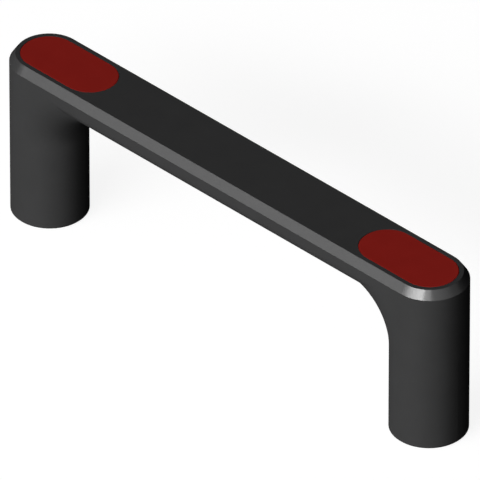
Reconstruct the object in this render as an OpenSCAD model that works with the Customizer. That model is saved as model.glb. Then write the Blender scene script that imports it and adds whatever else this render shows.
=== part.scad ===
// Pull handle: one moulded body with two round legs, a cover cap snapped in
// over each leg, and a threaded insert moulded into each foot.
// +X runs along the bar and +Z points away from the mounting surface.
// The origin lies on that surface, midway between the legs.

/* [Handle] */
// Distance between the axes of the two legs
leg_spacing = 174; // [120:1:260]
// Diameter of a leg, and width of the bar
leg_d = 26; // [24:0.5:32]
// Height of the top face above the mounting surface
height = 61; // [54:1:90]
// Width of the chamfer round the top face
chamfer_w = 2; // [0.5:0.1:2.5]
// Height of the chamfer round the top face
chamfer_h = 3; // [0.5:0.1:4]
// Break of the sharp edge at each foot
foot_break = 0.4; // [0.1:0.1:1]

/* [Bar] */
// Depth of the bar at its middle, from the top face to the belly
bar_h = 14.5; // [13:0.5:20]
// Height of the flat side below the chamfer
side_h = 3; // [1:0.5:4]
// Radius between the flat side and the belly
edge_r = 3.6; // [1.5:0.1:4.5]
// Inner radius of the bend from the bar down to a leg
bend_r = 14.5; // [8:0.5:20]

/* [Caps] */
// Width of a cap, with fully round ends
cap_w = 18.8; // [16:0.2:19.6]
// Distance from the leg axis to the centre of the cap's inner end
cap_reach = 19; // [14:0.5:30]
// Thickness of the cap's plate
cap_t = 2.2; // [1.6:0.1:3]
// Break of the cap's upper edge
cap_break = 0.15; // [0.1:0.05:0.6]
// Gap between the plate and its seat
cap_gap = 0.1; // [0.05:0.05:0.3]
// Width of the ledge that the plate rests on
ledge_w = 1.2; // [0.8:0.1:2]
// Wall of the skirt below the plate
skirt_t = 1.3; // [0.8:0.1:1.8]
// Height of the skirt
skirt_h = 6.2; // [5:0.1:7.5]
// Gap between the skirt and the pocket's wall
skirt_gap = 0.1; // [0.05:0.05:0.3]
// Gap between the skirt and the pocket's floor
floor_gap = 0.6; // [0.3:0.1:1.5]
// Width of the springy tongue on each side of the skirt
tongue_w = 9; // [6:0.5:11]
// Width of the slots that free a tongue
slot_w = 1; // [0.6:0.1:1.5]
// Radius of the snap bead on a tongue
bead_r = 0.8; // [0.5:0.1:1]
// How far the bead stands out of the skirt
bead_out = 0.45; // [0.3:0.05:0.5]
// Height of the bead's middle above the skirt's lower edge
bead_z = 1.4; // [1.2:0.1:3]
// Gap between the bead and its groove
bead_gap = 0.1; // [0.05:0.05:0.3]

/* [Wells] */
// Diameter of the cored-out well inside a leg
well_d = 15; // [10:0.5:16]
// Rounding at the well's floor
well_round = 2; // [0.5:0.5:4]
// Plastic left between the well and the insert
well_floor = 5; // [3:0.5:10]

/* [Inserts] */
// Length of an insert
insert_l = 18; // [14:0.5:24]
// Diameter of its round collar
collar_d = 12; // [11.6:0.1:14]
// Length of the collar
collar_l = 3; // [1.5:0.5:4]
// Width across the flats of its hexagonal shank
hex_af = 10; // [9.5:0.1:10]
// Diameter of the groove that keys the shank into the plastic
groove_d = 8.8; // [8.2:0.1:9.2]
// Length of the groove
groove_l = 4; // [2:0.5:6]
// Diameter of the threaded hole's wall
thread_bore_d = 6.8; // [5:0.1:7]
// Depth of the threaded hole
thread_depth = 14.5; // [8:0.5:15.5]
// Depth of the countersink at its mouth
sink_h = 0.7; // [0.3:0.1:1]

/* [Hidden] */
$fn = 96;

body_colour = "#262628";
cap_colour = "#b4191c";
insert_colour = "#c8a455";

past = 1; // overrun of a cutting shape past the face it cuts
leg_r = leg_d / 2;
leg_x = leg_spacing / 2;
chamfer_z = height - chamfer_h;

// The bar's section has a flat side, an edge arc and a wide belly arc.
// The belly arc is tangent to both edge arcs and touches the belly's lowest line.
bar_z = height - bar_h;
side_z = chamfer_z - side_h;
edge_y = leg_r - edge_r;
belly_drop = side_z - bar_z;
belly_r = (edge_y ^ 2 + belly_drop ^ 2 - edge_r ^ 2) / (2 * (belly_drop - edge_r));
belly_y = edge_y * belly_r / (belly_r - edge_r); // where belly and edge arc meet

// The bend runs tangent from the belly's lowest line to the leg's inner side.
bend_x = leg_x - leg_r - bend_r;
bend_z = bar_z - bend_r;

seat_r = cap_w / 2 + cap_gap;
seat_z = height - cap_t;
pocket_r = cap_w / 2 - ledge_w;
skirt_r = pocket_r - skirt_gap;
skirt_z = seat_z - skirt_h;
pocket_z = skirt_z - floor_gap;
well_z = insert_l + well_floor;

// Solid with two round ends: the half profile [r, z] is turned at both ends
// and runs straight between them.
module obround(spacing, profile) {
    for (side = [-1, 1])
        translate([side * spacing / 2, 0, 0])
            rotate_extrude()
                polygon(profile);
    rotate([90, 0, 90])
        linear_extrude(spacing, center = true) {
            polygon(profile);
            mirror([1, 0]) polygon(profile);
        }
}

// Obround with upright walls, over one leg and reaching toward the middle
module cap_obround(r, z, h) {
    translate([leg_x - cap_reach / 2, 0, z])
        obround(cap_reach, [[0, 0], [r, 0], [r, h], [0, h]]);
}

// Runs the pieces of the right end on the left end too
module both_ends() {
    children();
    mirror([1, 0, 0]) children();
}

// Body

// Section across the bar: a flat-sided top on a three-arc underside
module bar_section() {
    intersection() {
        translate([0, bar_z + belly_r]) circle(belly_r);
        translate([-belly_y, bar_z - past]) square([2 * belly_y, height]);
    }
    for (side = [-1, 1])
        translate([side * edge_y, side_z]) circle(edge_r);
    translate([-leg_r, side_z]) square([leg_d, height]);
}

module bar() {
    rotate([90, 0, 90])
        linear_extrude(leg_spacing, center = true)
            bar_section();
}

// Round section swept down from the bar to the leg, with straight flanks
// beyond its middle that fill the outer corner
module bend() {
    translate([bend_x, 0, bend_z])
        rotate([90, 0, 0])
            rotate_extrude(angle = 90)
                translate([bend_r + leg_r, 0]) {
                    circle(leg_r);
                    translate([0, -leg_r]) square([height, leg_d]);
                }
}

module leg() {
    translate([leg_x, 0, 0])
        rotate_extrude()
            polygon([[0, 0], [leg_r - foot_break, 0], [leg_r, foot_break],
                     [leg_r, bend_z], [0, bend_z]]);
}

// Everything above the legs' straight part, cut to the chamfered outline
module bow() {
    intersection() {
        obround(leg_spacing, [[0, 0], [leg_r, 0], [leg_r, chamfer_z],
                              [leg_r - chamfer_w, height], [0, height]]);
        union() {
            bar();
            both_ends() bend();
        }
    }
}

// Room under one cap: the plate's seat, the skirt's pocket with its two
// snap grooves, and the well that cores out the leg
module cap_room() {
    cap_obround(seat_r, seat_z, cap_t + past);
    cap_obround(pocket_r, pocket_z, seat_z - pocket_z + past);
    snap_beads(bead_r + bead_gap, tongue_w + 2 * bead_gap);
    translate([leg_x, 0, well_z])
        rotate_extrude()
            well_profile();
}

// Half section of the well, with a rounded floor
module well_profile() {
    r = well_d / 2;
    square([r - well_round, well_round]);
    translate([r - well_round, well_round])
        intersection() {
            circle(well_round);
            translate([0, -well_round]) square(well_round);
        }
    translate([0, well_round]) square([r, pocket_z - well_z - well_round + past]);
}

module handle_body() {
    color(body_colour)
        difference() {
            union() {
                bow();
                both_ends() leg();
            }
            both_ends() {
                cap_room();
                translate([leg_x, 0, 0]) {
                    insert_blank();
                    translate([0, 0, -past]) cylinder(h = past + collar_l, d = collar_d);
                }
            }
        }
}

// Caps

// Rounded ridges along both long sides of the skirt
module snap_beads(r, length) {
    for (side = [-1, 1])
        translate([leg_x - cap_reach / 2, side * (skirt_r + bead_out - bead_r), skirt_z + bead_z])
            rotate([0, 90, 0])
                cylinder(h = length, r = r, center = true);
}

module cap_plate() {
    r = cap_w / 2;
    translate([leg_x - cap_reach / 2, 0, seat_z])
        obround(cap_reach, [[0, 0], [r, 0], [r, cap_t - cap_break],
                            [r - cap_break, cap_t], [0, cap_t]]);
}

module skirt() {
    difference() {
        cap_obround(skirt_r, skirt_z, skirt_h);
        cap_obround(skirt_r - skirt_t, skirt_z - past, skirt_h + past);
        for (side = [-1, 1])
            translate([leg_x - (cap_reach + slot_w - side * (tongue_w + slot_w)) / 2,
                       -leg_r, skirt_z - past])
                cube([slot_w, leg_d, skirt_h + past]);
    }
}

module cap() {
    color(cap_colour) {
        cap_plate();
        skirt();
        difference() {
            snap_beads(bead_r, tongue_w);
            cap_obround(skirt_r - skirt_t, skirt_z - past, skirt_h + past);
        }
    }
}

module cap_right() cap();
module cap_left() mirror([1, 0, 0]) cap();

// Inserts

// Outer form of an insert: a round collar and a hexagonal shank with a groove
module insert_blank() {
    cylinder(h = collar_l, d = collar_d);
    difference() {
        cylinder(h = insert_l, d = hex_af / cos(30), $fn = 6);
        translate([0, 0, (collar_l + insert_l - groove_l) / 2])
            difference() {
                cylinder(h = groove_l, d = collar_d + past);
                translate([0, 0, -past]) cylinder(h = groove_l + 2 * past, d = groove_d);
            }
    }
}

module insert() {
    color(insert_colour)
        translate([leg_x, 0, 0])
            difference() {
                insert_blank();
                translate([0, 0, -past]) cylinder(h = past + thread_depth, d = thread_bore_d);
                translate([0, 0, -past])
                    cylinder(h = past + sink_h,
                             d1 = thread_bore_d + 2 * (past + sink_h), d2 = thread_bore_d);
            }
}

module insert_right() insert();
module insert_left() mirror([1, 0, 0]) insert();

handle_body();
cap_left();
cap_right();
insert_left();
insert_right();
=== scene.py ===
# Black moulded pull handle with two red cover caps and brass inserts in its feet.
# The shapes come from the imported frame; this script dresses and lights them.
import math

import bmesh
import bpy
from mathutils import Matrix, Vector


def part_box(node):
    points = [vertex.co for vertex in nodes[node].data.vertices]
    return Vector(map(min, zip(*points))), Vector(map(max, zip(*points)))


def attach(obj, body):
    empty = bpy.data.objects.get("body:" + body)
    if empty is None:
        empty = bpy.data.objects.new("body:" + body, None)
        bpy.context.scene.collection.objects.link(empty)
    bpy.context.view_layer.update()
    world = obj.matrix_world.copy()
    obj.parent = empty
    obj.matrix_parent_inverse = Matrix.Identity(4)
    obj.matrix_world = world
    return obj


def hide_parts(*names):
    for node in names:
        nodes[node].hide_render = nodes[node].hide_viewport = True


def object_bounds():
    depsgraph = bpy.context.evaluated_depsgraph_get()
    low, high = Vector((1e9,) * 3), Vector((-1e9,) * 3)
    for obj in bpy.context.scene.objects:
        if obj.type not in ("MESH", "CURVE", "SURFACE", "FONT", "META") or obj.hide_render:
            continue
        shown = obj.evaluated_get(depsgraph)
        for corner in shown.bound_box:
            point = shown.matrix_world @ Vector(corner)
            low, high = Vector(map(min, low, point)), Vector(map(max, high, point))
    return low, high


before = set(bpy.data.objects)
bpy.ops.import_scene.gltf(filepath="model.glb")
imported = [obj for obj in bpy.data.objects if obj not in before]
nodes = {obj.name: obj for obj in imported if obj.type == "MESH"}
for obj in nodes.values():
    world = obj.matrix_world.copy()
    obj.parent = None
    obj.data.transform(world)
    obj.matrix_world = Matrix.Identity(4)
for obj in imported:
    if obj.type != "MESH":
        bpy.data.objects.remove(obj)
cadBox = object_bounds()  # box of the solids, before anything is added
mm = 0.001
print("frame loaded:", ", ".join(sorted(nodes)))


# Helpers for objects and nodes

noiseReach = (0.3, 0.7)  # nearly all of a noise lies between these
waveFactor = 20  # a wave texture multiplies its lengths by this


def addToScene(name, data):
    thing = bpy.data.objects.new(name, data)
    bpy.context.scene.collection.objects.link(thing)
    return thing


def newMaterial(name):
    mat = bpy.data.materials.new(name)
    mat.use_nodes = True
    tree = mat.node_tree
    tree.nodes.clear()
    return mat, tree


def addNode(tree, kind, **settings):
    node = tree.nodes.new(kind)
    for key, value in settings.items():
        setattr(node, key, value)
    return node


def objectNoise(tree, coords, size, detail):
    noise = addNode(tree, "ShaderNodeTexNoise")
    noise.inputs["Scale"].default_value = 1 / size
    noise.inputs["Detail"].default_value = detail
    tree.links.new(coords.outputs["Object"], noise.inputs["Vector"])
    return noise


# Stretches a noise to the range from low to high
def spreadNoise(tree, source, low, high):
    spread = addNode(tree, "ShaderNodeMapRange")
    spread.inputs["From Min"].default_value = noiseReach[0]
    spread.inputs["From Max"].default_value = noiseReach[1]
    spread.inputs["To Min"].default_value = low
    spread.inputs["To Max"].default_value = high
    tree.links.new(source, spread.inputs["Value"])
    return spread.outputs["Result"]


# Fine relief on a surface whose sharp edges are broken by a small radius
def addRelief(tree, source, height, edgeRadius, shader):
    edge = addNode(tree, "ShaderNodeBevel", samples=4)
    edge.inputs["Radius"].default_value = edgeRadius
    bump = addNode(tree, "ShaderNodeBump")
    bump.inputs["Strength"].default_value = 1
    bump.inputs["Distance"].default_value = height
    tree.links.new(source, bump.inputs["Height"])
    tree.links.new(edge.outputs["Normal"], bump.inputs["Normal"])
    tree.links.new(bump.outputs["Normal"], shader.inputs["Normal"])
    tree.links.new(bump.outputs["Normal"], shader.inputs["Coat Normal"])


def finishMaterial(tree, shader):
    out = addNode(tree, "ShaderNodeOutputMaterial")
    tree.links.new(shader, out.inputs["Surface"])


# Moulded plastic: a dull skin with a fine grain, and a band of it can be polished.
# A gloss is a list of pairs: how far the surface is turned away from the eye, from 0 to 1,
# and how strong the gloss is there.

bodyPlastic = {
    "colour": (0.05, 0.05, 0.0505),
    "colourSpread": 0.03,  # how much the melt's flow lightens and darkens the skin
    "roughness": 0.62,
    "roughnessSpread": 0.06,
    "gloss": [(0.2, 0.09), (0.31, 0.03), (0.42, 0.0)],
    "polishedGloss": [(0.0, 0.78), (0.05, 0.57), (0.1, 0.42), (0.15, 0.25), (0.2, 0.235),
                      (0.3, 0.035), (0.42, 0.0)],
    "polishedFrom": 58.02 * mm,  # the chamfer lies between these heights
    "polishedTo": 60.98 * mm,
    "glossRoughness": 0.2,
    "glossIor": 1.7,
    "grainSize": 0.34 * mm,
    "grainHeight": 0.015 * mm,
    "edgeRadius": 0.2 * mm,
    "flowSize": 9 * mm,
}

capPlastic = {
    "colour": (0.34, 0.0202, 0.0152),
    "colourSpread": 0.03,
    "roughness": 0.55,
    "roughnessSpread": 0.05,
    "gloss": [(0.2, 0.06), (0.42, 0.0)],
    "glossRoughness": 0.24,
    "glossIor": 1.5,
    "grainSize": 0.34 * mm,
    "grainHeight": 0.012 * mm,
    "edgeRadius": 0.1 * mm,
    "flowSize": 7 * mm,
}


# A gloss that fades as the surface turns away from the eye
def glossByAngle(tree, gloss):
    facing = addNode(tree, "ShaderNodeLayerWeight")
    facing.inputs["Blend"].default_value = 0.5  # Facing then grows evenly from 0 to 1
    ramp = addNode(tree, "ShaderNodeValToRGB")
    stops = ramp.color_ramp.elements
    for index, (turned, amount) in enumerate(gloss):
        stop = stops[index] if index < 2 else stops.new(turned)
        stop.position = turned
        stop.color = (amount, amount, amount, 1)
    tree.links.new(facing.outputs["Facing"], ramp.inputs["Fac"])
    return ramp.outputs["Color"]


# 1 between two heights on the object, and 0 elsewhere
def heightBand(tree, coords, low, high):
    parts = addNode(tree, "ShaderNodeSeparateXYZ")
    tree.links.new(coords.outputs["Object"], parts.inputs["Vector"])
    band = addNode(tree, "ShaderNodeMath", operation="COMPARE")
    tree.links.new(parts.outputs["Z"], band.inputs[0])
    band.inputs[1].default_value = (low + high) / 2
    band.inputs[2].default_value = (high - low) / 2
    return band.outputs["Value"]


def mouldedPlastic(name, look):
    mat, tree = newMaterial(name)
    link = tree.links.new
    coords = addNode(tree, "ShaderNodeTexCoord")
    shader = addNode(tree, "ShaderNodeBsdfPrincipled")
    shader.inputs["Specular IOR Level"].default_value = 0  # all the gloss is in the coat
    shader.inputs["Coat Roughness"].default_value = look["glossRoughness"]
    shader.inputs["Coat IOR"].default_value = look["glossIor"]

    flow = objectNoise(tree, coords, look["flowSize"], detail=3)
    grain = objectNoise(tree, coords, look["grainSize"], detail=2)

    shade = addNode(tree, "ShaderNodeMixRGB", blend_type="MULTIPLY")
    shade.inputs["Fac"].default_value = 1
    shade.inputs["Color1"].default_value = (*look["colour"], 1)
    spread = look["colourSpread"]
    link(spreadNoise(tree, flow.outputs["Fac"], 1 - spread, 1 + spread),
         shade.inputs["Color2"])
    link(shade.outputs["Color"], shader.inputs["Base Color"])

    rough, roughSpread = look["roughness"], look["roughnessSpread"]
    link(spreadNoise(tree, grain.outputs["Fac"], rough - roughSpread, rough + roughSpread),
         shader.inputs["Roughness"])

    gloss = glossByAngle(tree, look["gloss"])
    if "polishedGloss" in look:
        polish = addNode(tree, "ShaderNodeMixRGB")
        band = heightBand(tree, coords, look["polishedFrom"], look["polishedTo"])
        link(band, polish.inputs["Fac"])
        link(gloss, polish.inputs["Color1"])
        link(glossByAngle(tree, look["polishedGloss"]), polish.inputs["Color2"])
        gloss = polish.outputs["Color"]
    link(gloss, shader.inputs["Coat Weight"])

    addRelief(tree, grain.outputs["Fac"], look["grainHeight"], look["edgeRadius"], shader)
    finishMaterial(tree, shader.outputs["BSDF"])
    return mat


# Turned brass: soft rings left by the lathe round the insert's own axis

brass = {
    "colour": (0.6, 0.4, 0.15),
    "roughness": 0.3,
    "roughnessSpread": 0.06,
    "ringSpacing": 0.44 * math.pi * mm,  # about 1.4 mm
    "ringHeight": 0.003 * mm,
    "ringWander": 0.2,
    "edgeRadius": 0.04 * mm,
}


def turnedBrass(name, look):
    mat, tree = newMaterial(name)
    coords = addNode(tree, "ShaderNodeTexCoord")
    shader = addNode(tree, "ShaderNodeBsdfPrincipled")
    shader.inputs["Base Color"].default_value = (*look["colour"], 1)
    shader.inputs["Metallic"].default_value = 1

    rings = addNode(tree, "ShaderNodeTexWave", wave_type="RINGS", rings_direction="Z")
    rings.inputs["Scale"].default_value = math.tau / look["ringSpacing"] / waveFactor
    rings.inputs["Distortion"].default_value = look["ringWander"]
    tree.links.new(coords.outputs["Object"], rings.inputs["Vector"])

    rough, spread = look["roughness"], look["roughnessSpread"]
    tree.links.new(spreadNoise(tree, rings.outputs["Fac"], rough - spread, rough + spread),
                   shader.inputs["Roughness"])
    addRelief(tree, rings.outputs["Fac"], look["ringHeight"], look["edgeRadius"], shader)
    finishMaterial(tree, shader.outputs["BSDF"])
    return mat


def dress(node, mat):
    mesh = nodes[node].data
    mesh.materials.clear()
    mesh.materials.append(mat)


dress("handle_body", mouldedPlastic("blackMoulding", bodyPlastic))
capFinish = mouldedPlastic("redCapPlastic", capPlastic)
for cap in ("cap_left", "cap_right"):
    dress(cap, capFinish)
print("body and caps dressed")


# Brass insert with its screw thread cut into the bore

insertShape = {
    "collarRadius": 6 * mm,
    "collarLength": 3 * mm,
    "shankFlats": 10 * mm,
    "grooveRadius": 4.4 * mm,
    "grooveStart": 8.5 * mm,
    "grooveEnd": 12.5 * mm,
    "length": 18 * mm,
    "edgeBreak": 0.15 * mm,
    "boreRadius": 3.4 * mm,
    "boreDepth": 14.5 * mm,
    "sinkDepth": 0.7 * mm,
    "threadRadius": 4 * mm,  # bottom of the thread's groove
    "pitch": 1.25 * mm,
    "threadEnd": 13.6 * mm,
    "threadRunOut": 1.0 * mm,  # the groove grows shallow over this length
    # the thread's profile: share of a pitch along it, share of its depth
    "threadSteps": [(0, 0), (0.32, 0), (0.597, 1), (0.722, 1)],
    "spareTurns": 3,  # the helix starts a turn below the foot and runs past the thread's end
    "segments": 72,
    "mergeDistance": 0.001 * mm,
    "smoothUpTo": 30,  # degrees
}


def circle(radius):
    return lambda angle: radius


def hexagon(flats):
    return lambda angle: flats / 2 / math.cos(angle % (math.pi / 3) - math.pi / 6)


def segmentAngle(shape, index):
    return 2 * math.pi * index / shape["segments"]


def addPoint(bm, radius, angle, height):
    return bm.verts.new((radius * math.cos(angle), radius * math.sin(angle), height))


def addRing(bm, shape, outline, height):
    angles = [segmentAngle(shape, index) for index in range(shape["segments"])]
    return [addPoint(bm, outline(angle), angle, height) for angle in angles]


def joinRings(bm, rings):
    for lower, upper in zip(rings, rings[1:]):
        for index, vert in enumerate(lower):
            after = (index + 1) % len(lower)
            bm.faces.new((vert, lower[after], upper[after], upper[index]))


def closeRing(bm, ring, height):
    middle = bm.verts.new((0, 0, height))
    for index, vert in enumerate(ring):
        bm.faces.new((vert, ring[(index + 1) % len(ring)], middle))


def addOutside(bm, shape):
    edge, collar, length = shape["edgeBreak"], shape["collarLength"], shape["length"]
    wide, flats = shape["collarRadius"], shape["shankFlats"]
    profile = [
        (circle(shape["boreRadius"] + shape["sinkDepth"]), 0),
        (circle(wide - edge), 0),
        (circle(wide), edge),
        (circle(wide), collar - edge),
        (circle(wide - edge), collar),
        (hexagon(flats), collar),
        (hexagon(flats), shape["grooveStart"]),
        (circle(shape["grooveRadius"]), shape["grooveStart"]),
        (circle(shape["grooveRadius"]), shape["grooveEnd"]),
        (hexagon(flats), shape["grooveEnd"]),
        (hexagon(flats), length - edge),
        (hexagon(flats - 2 * edge), length),
    ]
    rings = [addRing(bm, shape, outline, height) for outline, height in profile]
    joinRings(bm, rings)
    closeRing(bm, rings[-1], length)


# The rows of the bore follow the helix. Past either end of the thread they lie on
# one plain ring, where their points are merged later.
def addThread(bm, shape):
    pitch, end, bore = shape["pitch"], shape["threadEnd"], shape["boreRadius"]
    depth = shape["threadRadius"] - bore
    steps, segments = shape["threadSteps"], shape["segments"]
    turns = math.ceil(end / pitch) + shape["spareTurns"]
    rows = []
    for row in range(turns * len(steps)):
        along, share = steps[row % len(steps)]
        start = (row // len(steps) - 1 + along) * pitch
        points = []
        for index in range(segments):
            angle = segmentAngle(shape, index)
            height = min(max(start + pitch * index / segments, 0), end)
            fade = min(1, (end - height) / shape["threadRunOut"])
            sink = bore + shape["sinkDepth"] - height
            points.append(addPoint(bm, max(bore + share * fade * depth, sink), angle, height))
        rows.append(points)
    turn = len(steps)
    for row in range(len(rows) - turn - 1):
        for index in range(segments - 1):
            bm.faces.new((rows[row][index], rows[row][index + 1],
                          rows[row + 1][index + 1], rows[row + 1][index]))
        bm.faces.new((rows[row][-1], rows[row + turn][0],
                      rows[row + turn + 1][0], rows[row + 1][-1]))
    low = addRing(bm, shape, circle(bore), end)
    deep = addRing(bm, shape, circle(bore), shape["boreDepth"])
    joinRings(bm, [low, deep])
    closeRing(bm, deep, shape["boreDepth"])


def makeInsert(name, node, shape, finish):
    bm = bmesh.new()
    addOutside(bm, shape)
    addThread(bm, shape)
    bmesh.ops.remove_doubles(bm, verts=bm.verts, dist=shape["mergeDistance"])
    loose = [vert for vert in bm.verts if not vert.link_faces]
    bmesh.ops.delete(bm, geom=loose, context="VERTS")
    bmesh.ops.recalc_face_normals(bm, faces=bm.faces)
    for face in bm.faces:
        face.smooth = True
    openEdges = sum(1 for edge in bm.edges if len(edge.link_faces) != 2)
    mesh = bpy.data.meshes.new(name)
    bm.to_mesh(mesh)
    bm.free()
    mesh.set_sharp_from_angle(angle=math.radians(shape["smoothUpTo"]))
    mesh.materials.append(finish)
    piece = addToScene(name, mesh)
    low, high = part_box(node)
    piece.location = ((low.x + high.x) / 2, (low.y + high.y) / 2, low.z)
    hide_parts(node)
    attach(piece, "root")
    print(name, "made:", len(mesh.polygons), "faces,", openEdges, "open edges")


brassFinish = turnedBrass("turnedBrass", brass)
makeInsert("threaded_insert_left", "insert_left", insertShape, brassFinish)
makeInsert("threaded_insert_right", "insert_right", insertShape, brassFinish)


# Floor and world: both are plain white to the eye and to reflections

studio = {
    "white": 1.0,
    "worldLight": 0.033,  # what reaches the object from all round
    "floorColour": 0.8,
    "floorLit": 0.35,  # share of the floor's own lit colour, which holds the shadow
    "floorGlow": 0.88,
    "floorSize": 8.0,
    "floorGap": 0.2 * mm,
}


# 1 for rays from the camera and off or through a glossy or clear surface, otherwise 0
def seenDirectly(tree):
    path = addNode(tree, "ShaderNodeLightPath")
    total = path.outputs["Is Camera Ray"]
    for ray in ("Is Glossy Ray", "Is Transmission Ray"):
        either = addNode(tree, "ShaderNodeMath", operation="MAXIMUM")
        tree.links.new(total, either.inputs[0])
        tree.links.new(path.outputs[ray], either.inputs[1])
        total = either.outputs[0]
    return total


# One strength for the light on the object, and another for what is seen
def addSwitch(tree, low, high):
    strength = addNode(tree, "ShaderNodeMapRange")
    strength.inputs["To Min"].default_value = low
    strength.inputs["To Max"].default_value = high
    tree.links.new(seenDirectly(tree), strength.inputs["Value"])
    return strength.outputs["Result"]


def makeWorld():
    world = bpy.data.worlds.new("whiteStudio")
    world.use_nodes = True
    tree = world.node_tree
    tree.nodes.clear()
    background = addNode(tree, "ShaderNodeBackground")
    background.inputs["Color"].default_value = (1, 1, 1, 1)
    strength = addSwitch(tree, studio["worldLight"], studio["white"])
    tree.links.new(strength, background.inputs["Strength"])
    out = addNode(tree, "ShaderNodeOutputWorld")
    tree.links.new(background.outputs["Background"], out.inputs["Surface"])
    bpy.context.scene.world = world


def makeFloor():
    mesh = bpy.data.meshes.new("floor")
    floor = addToScene("floor", mesh)
    half = studio["floorSize"] / 2
    height = cadBox[0].z - studio["floorGap"]
    corners = [(x * half, y * half, height) for x, y in ((-1, -1), (1, -1), (1, 1), (-1, 1))]
    mesh.from_pydata(corners, [], [(0, 1, 2, 3)])
    mat, tree = newMaterial("paleFloor")
    link = tree.links.new
    lit = addNode(tree, "ShaderNodeBsdfDiffuse")
    grey = studio["floorColour"] * studio["floorLit"]
    lit.inputs["Color"].default_value = (grey, grey, grey, 1)
    glow = addNode(tree, "ShaderNodeEmission")
    link(addSwitch(tree, 0, studio["floorGlow"]), glow.inputs["Strength"])
    both = addNode(tree, "ShaderNodeAddShader")
    link(lit.outputs["BSDF"], both.inputs[0])
    link(glow.outputs["Emission"], both.inputs[1])
    clear = addNode(tree, "ShaderNodeBsdfTransparent")
    geometry = addNode(tree, "ShaderNodeNewGeometry")
    side = addNode(tree, "ShaderNodeMixShader")  # seen from below, the floor isn't there
    link(geometry.outputs["Backfacing"], side.inputs["Fac"])
    link(both.outputs["Shader"], side.inputs[1])
    link(clear.outputs["BSDF"], side.inputs[2])
    finishMaterial(tree, side.outputs["Shader"])
    mesh.materials.append(mat)
    floor.visible_shadow = False
    floor.visible_diffuse = False


makeWorld()
makeFloor()


# Lamps: where each stands, as azimuth from the front and elevation, how far it is tilted,
# and how wide and high it looks from the object, all in degrees. Level 1 on a surface that
# faces the lamp shows its colour as written.

lamps = {
    "longSoftbox": {"azimuth": 0.2, "elevation": 27.4, "tilt": 13,
                    "width": 48.8, "height": 10, "level": 0.796},
    "softboxEnd": {"azimuth": 37.2, "elevation": 31.9, "tilt": 13,
                   "width": 21, "height": 10, "level": 0.08},
    "edgeLight": {"azimuth": -39.5, "elevation": 16.5, "tilt": 21.7,
                  "width": 32.4, "height": 8, "level": 0.138},
    "frontFill": {"azimuth": -4, "elevation": 1.3, "tilt": 0,
                  "width": 24, "height": 16, "level": 0.185},
    "backFill": {"azimuth": 225, "elevation": -4, "tilt": 0,
                 "width": 30, "height": 16, "level": 0.4},
    "underFill": {"azimuth": 45, "elevation": -70, "tilt": 0,
                  "width": 40, "height": 40, "level": 0.04},
}
lampDistance = 4.0


def directionTo(place):
    azimuth, elevation = math.radians(place["azimuth"]), math.radians(place["elevation"])
    level = math.cos(elevation)
    return Vector((math.sin(azimuth) * level, -math.cos(azimuth) * level, math.sin(elevation)))


# Right, up and back of something that looks at the object without leaning
def axesFacing(back):
    right = Vector((0, 0, 1)).cross(back).normalized()
    return Matrix((right, back.cross(right), back)).transposed()


def lengthSeen(degrees):
    return 2 * lampDistance * math.tan(math.radians(degrees / 2))


def makeLamp(name, lamp):
    light = bpy.data.lights.new(name, "AREA")
    light.shape = "RECTANGLE"
    light.size = lengthSeen(lamp["width"])
    light.size_y = lengthSeen(lamp["height"])
    light.energy = lamp["level"] * (math.pi * lampDistance) ** 2
    holder = addToScene(name, light)
    back = directionTo(lamp)
    axes = axesFacing(back) @ Matrix.Rotation(math.radians(lamp["tilt"]), 3, "Z")
    place = (cadBox[0] + cadBox[1]) / 2 + back * lampDistance
    holder.matrix_world = Matrix.Translation(place) @ axes.to_4x4()


for name, lamp in lamps.items():
    makeLamp(name, lamp)
print("studio lit")


# Camera: the photograph is a parallel isometric view, so the lens is very long

photoView = {
    "azimuth": 45.14,
    "elevation": 34.91,
    "lens": 1500,
    "sensor": 36,
    "nearest": 0.1,
    "farthest": 30,
    "distance": 6.4648,
    "aimHeight": 29.72 * mm,  # above the mounting surface, midway between the legs
    "aimRight": 0.674 * mm,
}


def makeCamera():
    camera = bpy.data.cameras.new("photoCamera")
    camera.sensor_width = photoView["sensor"]
    camera.lens = photoView["lens"]
    camera.clip_start = photoView["nearest"]
    camera.clip_end = photoView["farthest"]
    holder = addToScene("photoCamera", camera)
    back = directionTo(photoView)
    axes = axesFacing(back)
    aim = Vector((0, 0, photoView["aimHeight"])) + axes.col[0] * photoView["aimRight"]
    place = aim + back * photoView["distance"]
    holder.matrix_world = Matrix.Translation(place) @ axes.to_4x4()
    bpy.context.scene.camera = holder


makeCamera()
bpy.context.scene.view_settings.view_transform = "Standard"
print("camera set")
